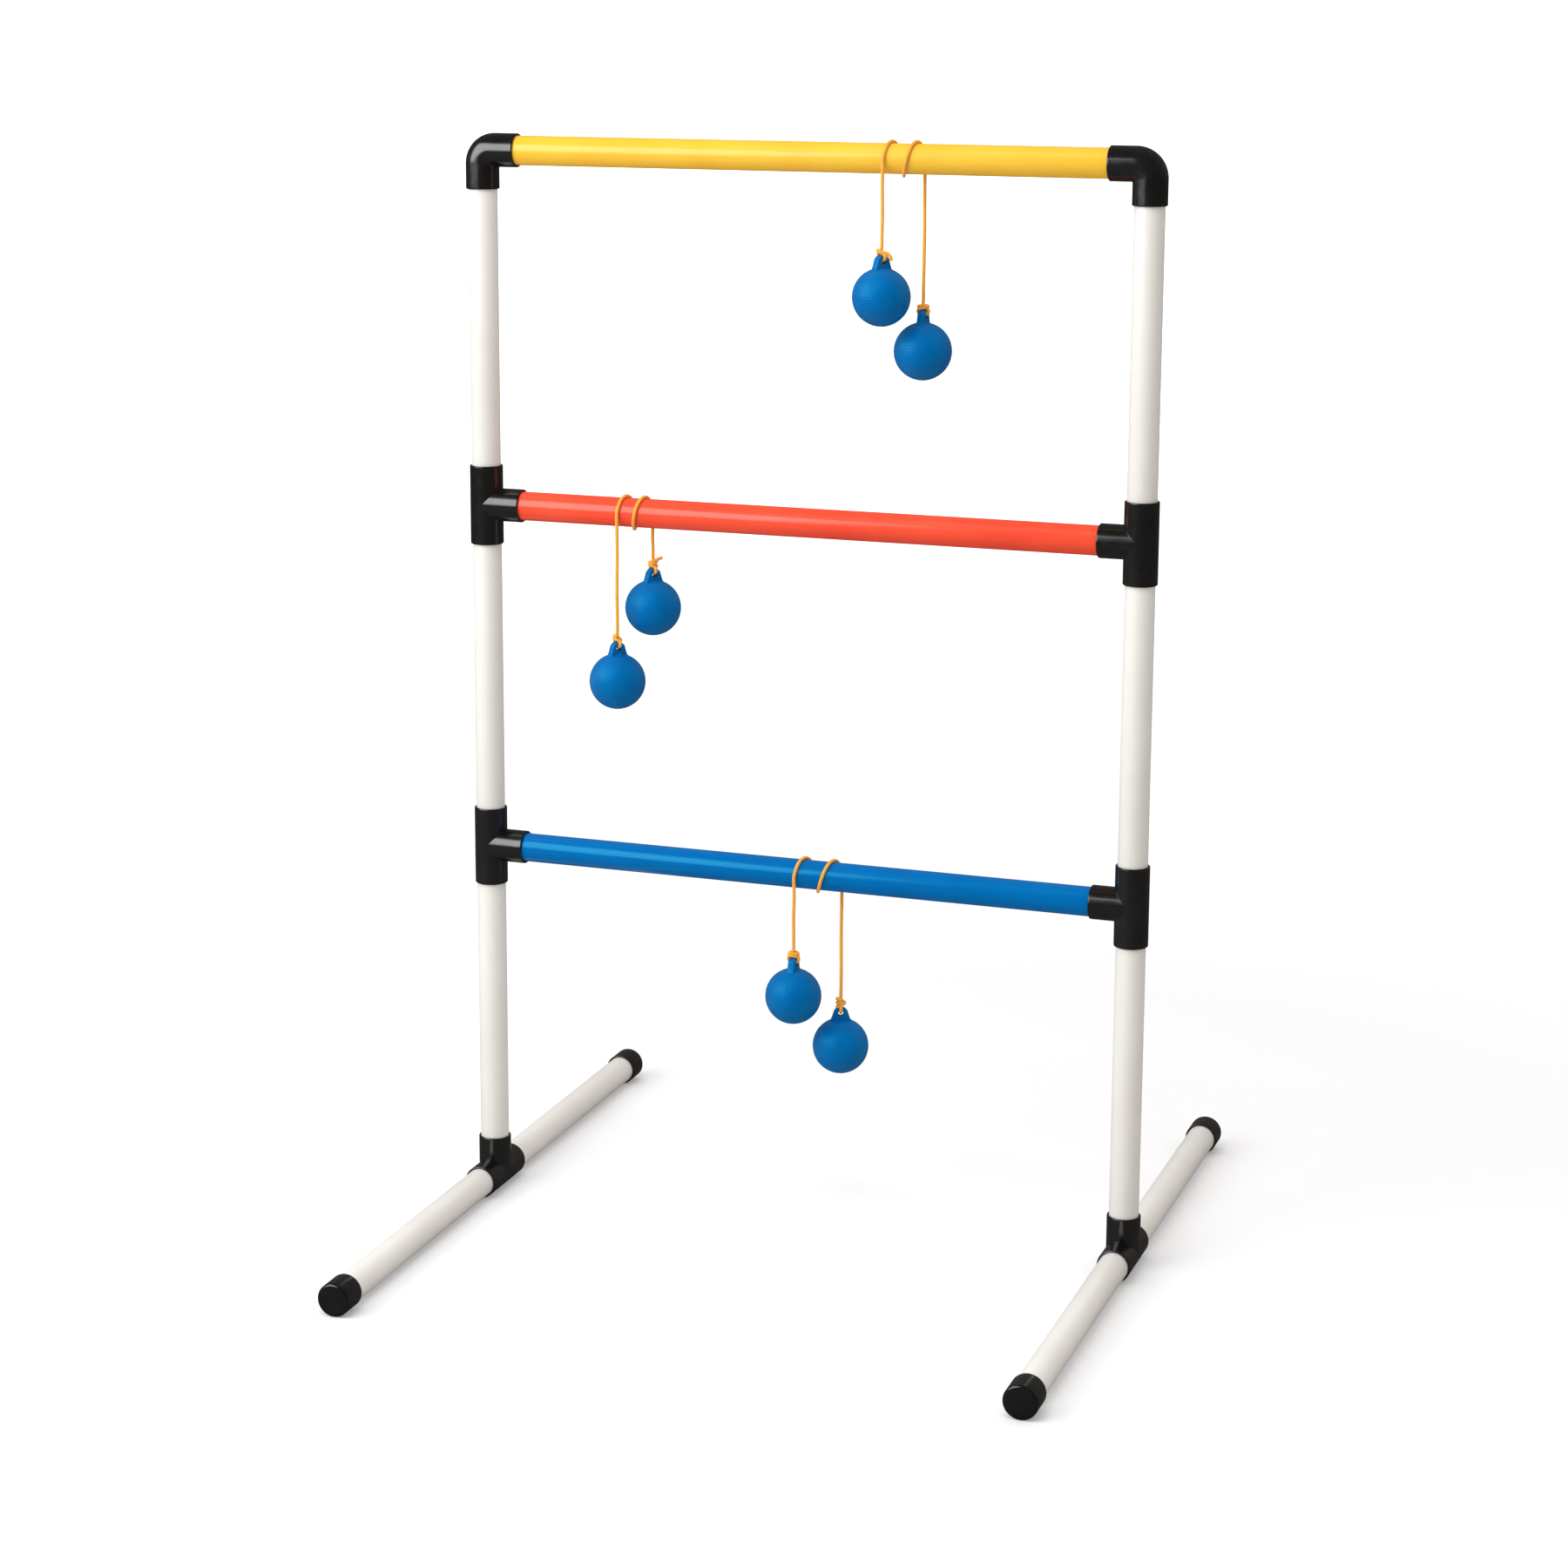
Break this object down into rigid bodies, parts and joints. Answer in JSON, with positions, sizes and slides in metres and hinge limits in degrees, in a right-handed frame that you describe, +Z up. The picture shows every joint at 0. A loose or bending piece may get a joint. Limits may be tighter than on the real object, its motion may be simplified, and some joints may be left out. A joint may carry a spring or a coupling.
{
  "type": "ladder toss frame",
  "caption": "Free-standing push-together tube ladder with coloured rungs, swivelling feet and ball-and-cord bolas hung over the rungs, for a lawn throwing game.",
  "frame": {"origin": "on the floor, midway between the two uprights", "axes": "+X along the rungs to the right, +Y away from the player, +Z up"},
  "size_m": [0.6184, 0.6698, 0.9596],
  "materials": {
    "white_tube": "satin white tube",
    "black_fitting": "satin moulded black",
    "black_cap": "matte black",
    "yellow_tube": "satin yellow",
    "red_tube": "satin coral red",
    "blue_tube": "satin blue",
    "ball_rubber": "pimpled blue rubber",
    "orange_cord": "braided orange-yellow cord"
  },
  "bodies": {
    "frame": {"left_elbow": "black_fitting", "right_elbow": "black_fitting", "left_upper_tee": "black_fitting", "right_upper_tee": "black_fitting", "left_lower_tee": "black_fitting", "right_lower_tee": "black_fitting", "left_top_upright": "white_tube", "right_top_upright": "white_tube", "left_middle_upright": "white_tube", "right_middle_upright": "white_tube", "left_bottom_upright": "white_tube", "right_bottom_upright": "white_tube", "top_rung": "yellow_tube", "middle_rung": "red_tube", "bottom_rung": "blue_tube"},
    "left_foot": {"left_base_tee": "black_fitting", "left_front_foot_tube": "white_tube", "left_rear_foot_tube": "white_tube", "left_front_cap": "black_cap", "left_rear_cap": "black_cap"},
    "right_foot": {"right_base_tee": "black_fitting", "right_front_foot_tube": "white_tube", "right_rear_foot_tube": "white_tube", "right_front_cap": "black_cap", "right_rear_cap": "black_cap"},
    "top_wrap": {"top_cord_wrap": "orange_cord"},
    "top_front_cord_end": {"top_front_cord": "orange_cord"},
    "top_front_ball_body": {"top_front_ball": "ball_rubber"},
    "top_back_cord_end": {"top_back_cord": "orange_cord"},
    "top_back_ball_body": {"top_back_ball": "ball_rubber"},
    "middle_wrap": {"middle_cord_wrap": "orange_cord"},
    "middle_front_cord_end": {"middle_front_cord": "orange_cord"},
    "middle_front_ball_body": {"middle_front_ball": "ball_rubber"},
    "middle_back_cord_end": {"middle_back_cord": "orange_cord"},
    "middle_back_ball_body": {"middle_back_ball": "ball_rubber"},
    "bottom_wrap": {"bottom_cord_wrap": "orange_cord"},
    "bottom_front_cord_end": {"bottom_front_cord": "orange_cord"},
    "bottom_front_ball_body": {"bottom_front_ball": "ball_rubber"},
    "bottom_back_cord_end": {"bottom_back_cord": "orange_cord"},
    "bottom_back_ball_body": {"bottom_back_ball": "ball_rubber"}
  },
  "joints": [
    {"name": "left_foot_swivel", "type": "hinge", "parent": "frame", "child": "left_foot", "pos_m": [-0.2946, 0, 0.0396], "axis": [0, 0, 1], "range_deg": [-55, 55]},
    {"name": "right_foot_swivel", "type": "hinge", "parent": "frame", "child": "right_foot", "pos_m": [0.2946, 0, 0.0396], "axis": [0, 0, 1], "range_deg": [-55, 55]},
    {"name": "top_bola_slide", "type": "slide", "parent": "frame", "child": "top_wrap", "axis": [1, 0, 0], "range_m": [-0.29, 0.12]},
    {"name": "top_front_cord_swing", "type": "hinge", "parent": "top_wrap", "child": "top_front_cord_end", "pos_m": [0.0725, 0, 0.944], "axis": [1, 0, 0], "range_deg": [-60, 0]},
    {"name": "top_front_ball_rock", "type": "hinge", "parent": "top_front_cord_end", "child": "top_front_ball_body", "pos_m": [0.0725, -0.0142, 0.8603], "axis": [-0.848, 0.5299, 0], "range_deg": [-20, 20]},
    {"name": "top_back_cord_swing", "type": "hinge", "parent": "top_wrap", "child": "top_back_cord_end", "pos_m": [0.1005, 0, 0.944], "axis": [1, 0, 0], "range_deg": [0, 60]},
    {"name": "top_back_ball_rock", "type": "hinge", "parent": "top_back_cord_end", "child": "top_back_ball_body", "pos_m": [0.1005, 0.0142, 0.8133], "axis": [-0.9976, 0.0698, 0], "range_deg": [-20, 20]},
    {"name": "middle_bola_slide", "type": "slide", "parent": "frame", "child": "middle_wrap", "axis": [1, 0, 0], "range_m": [-0.055, 0.36]},
    {"name": "middle_front_cord_swing", "type": "hinge", "parent": "middle_wrap", "child": "middle_front_cord_end", "pos_m": [-0.1655, 0, 0.6342], "axis": [1, 0, 0], "range_deg": [-60, 0]},
    {"name": "middle_front_ball_rock", "type": "hinge", "parent": "middle_front_cord_end", "child": "middle_front_ball_body", "pos_m": [-0.1655, -0.0142, 0.5165], "axis": [-0.829, 0.5592, 0], "range_deg": [-20, 20]},
    {"name": "middle_back_cord_swing", "type": "hinge", "parent": "middle_wrap", "child": "middle_back_cord_end", "pos_m": [-0.143, 0, 0.6342], "axis": [1, 0, 0], "range_deg": [0, 60]},
    {"name": "middle_back_ball_rock", "type": "hinge", "parent": "middle_back_cord_end", "child": "middle_back_ball_body", "pos_m": [-0.143, 0.0142, 0.5785], "axis": [-0.829, 0.5592, 0], "range_deg": [-20, 20]},
    {"name": "bottom_bola_slide", "type": "slide", "parent": "frame", "child": "bottom_wrap", "axis": [1, 0, 0], "range_m": [-0.22, 0.185]},
    {"name": "bottom_front_cord_swing", "type": "hinge", "parent": "bottom_wrap", "child": "bottom_front_cord_end", "pos_m": [-0.0015, 0, 0.3244], "axis": [1, 0, 0], "range_deg": [-60, 0]},
    {"name": "bottom_front_ball_rock", "type": "hinge", "parent": "bottom_front_cord_end", "child": "bottom_front_ball_body", "pos_m": [-0.0015, -0.0142, 0.2472], "axis": [-1, 0, 0], "range_deg": [-20, 20]},
    {"name": "bottom_back_cord_swing", "type": "hinge", "parent": "bottom_wrap", "child": "bottom_back_cord_end", "pos_m": [0.033, 0, 0.3244], "axis": [1, 0, 0], "range_deg": [0, 60]},
    {"name": "bottom_back_ball_rock", "type": "hinge", "parent": "bottom_back_cord_end", "child": "bottom_back_ball_body", "pos_m": [0.033, 0.0142, 0.1972], "axis": [-0.342, 0.9397, 0], "range_deg": [-20, 20]}
  ]
}
